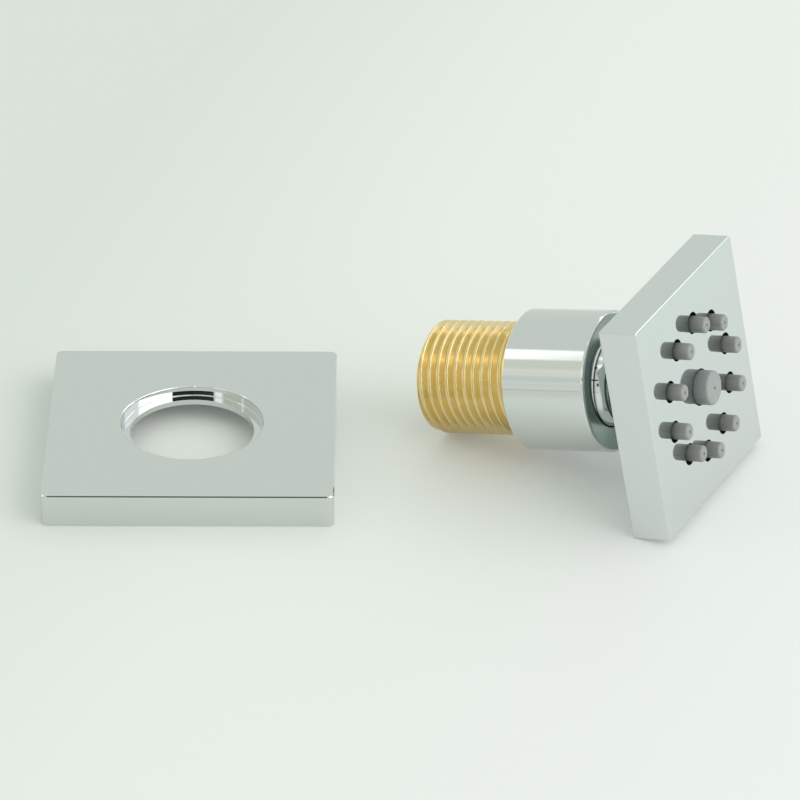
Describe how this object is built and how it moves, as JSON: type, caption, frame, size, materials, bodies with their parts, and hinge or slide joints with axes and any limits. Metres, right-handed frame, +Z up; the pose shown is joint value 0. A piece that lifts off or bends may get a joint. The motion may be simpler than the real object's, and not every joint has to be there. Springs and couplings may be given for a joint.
{
  "type": "shower body jet",
  "caption": "Square shower body jet with a threaded brass inlet, a chrome ball-joint collar and a square head of soft nozzles, beside its loose square wall flange.",
  "frame": {"origin": "on the table, in the middle of the rectangle that the jet and its loose flange cover", "axes": "+Z up from the table, +X from the flange towards the spray head, +Y away from the viewer, along the flange's sides"},
  "size_m": [0.1316, 0.0597, 0.0418],
  "materials": {
    "brass": "turned, bright",
    "chrome": "polished plating",
    "seal_rubber": "smooth",
    "slip_plastic": "smooth",
    "regulator_plastic": "smooth",
    "nozzle_rubber": "matt silicone",
    "centre_rubber": "matt silicone",
    "screw_steel": "plain"
  },
  "bodies": {
    "housing": {"inlet_nipple": "brass", "swivel_collar": "chrome", "seat_seal": "seal_rubber", "flow_regulator": "regulator_plastic", "regulator_seal": "seal_rubber", "wall_flange": "chrome"},
    "swivel_ring": {"slip_ring": "slip_plastic"},
    "ball": {"ball_stem": "chrome", "stem_washer": "seal_rubber"},
    "head": {"face_shell": "chrome", "nozzle_mat": "nozzle_rubber", "centre_nozzle": "centre_rubber", "mat_retainer": "slip_plastic", "cover_gasket": "seal_rubber", "back_cover": "slip_plastic", "cover_screws": "screw_steel"}
  },
  "joints": [
    {"name": "ring_turn", "type": "hinge", "parent": "housing", "child": "swivel_ring", "pos_m": [0.03444, -0.00026, 0.01746], "axis": [0.8663, -0.4433, 0.2303], "continuous": true},
    {"name": "head_tip", "type": "hinge", "parent": "swivel_ring", "child": "ball", "pos_m": [0.03444, -0.00026, 0.01746], "axis": [0.4555, 0.8902, 0], "range_deg": [-16.95, 13.05]},
    {"name": "head_turn", "type": "hinge", "parent": "ball", "child": "head", "pos_m": [0.03444, -0.00026, 0.01746], "axis": [0.8728, -0.4466, 0.1971], "continuous": true}
  ]
}
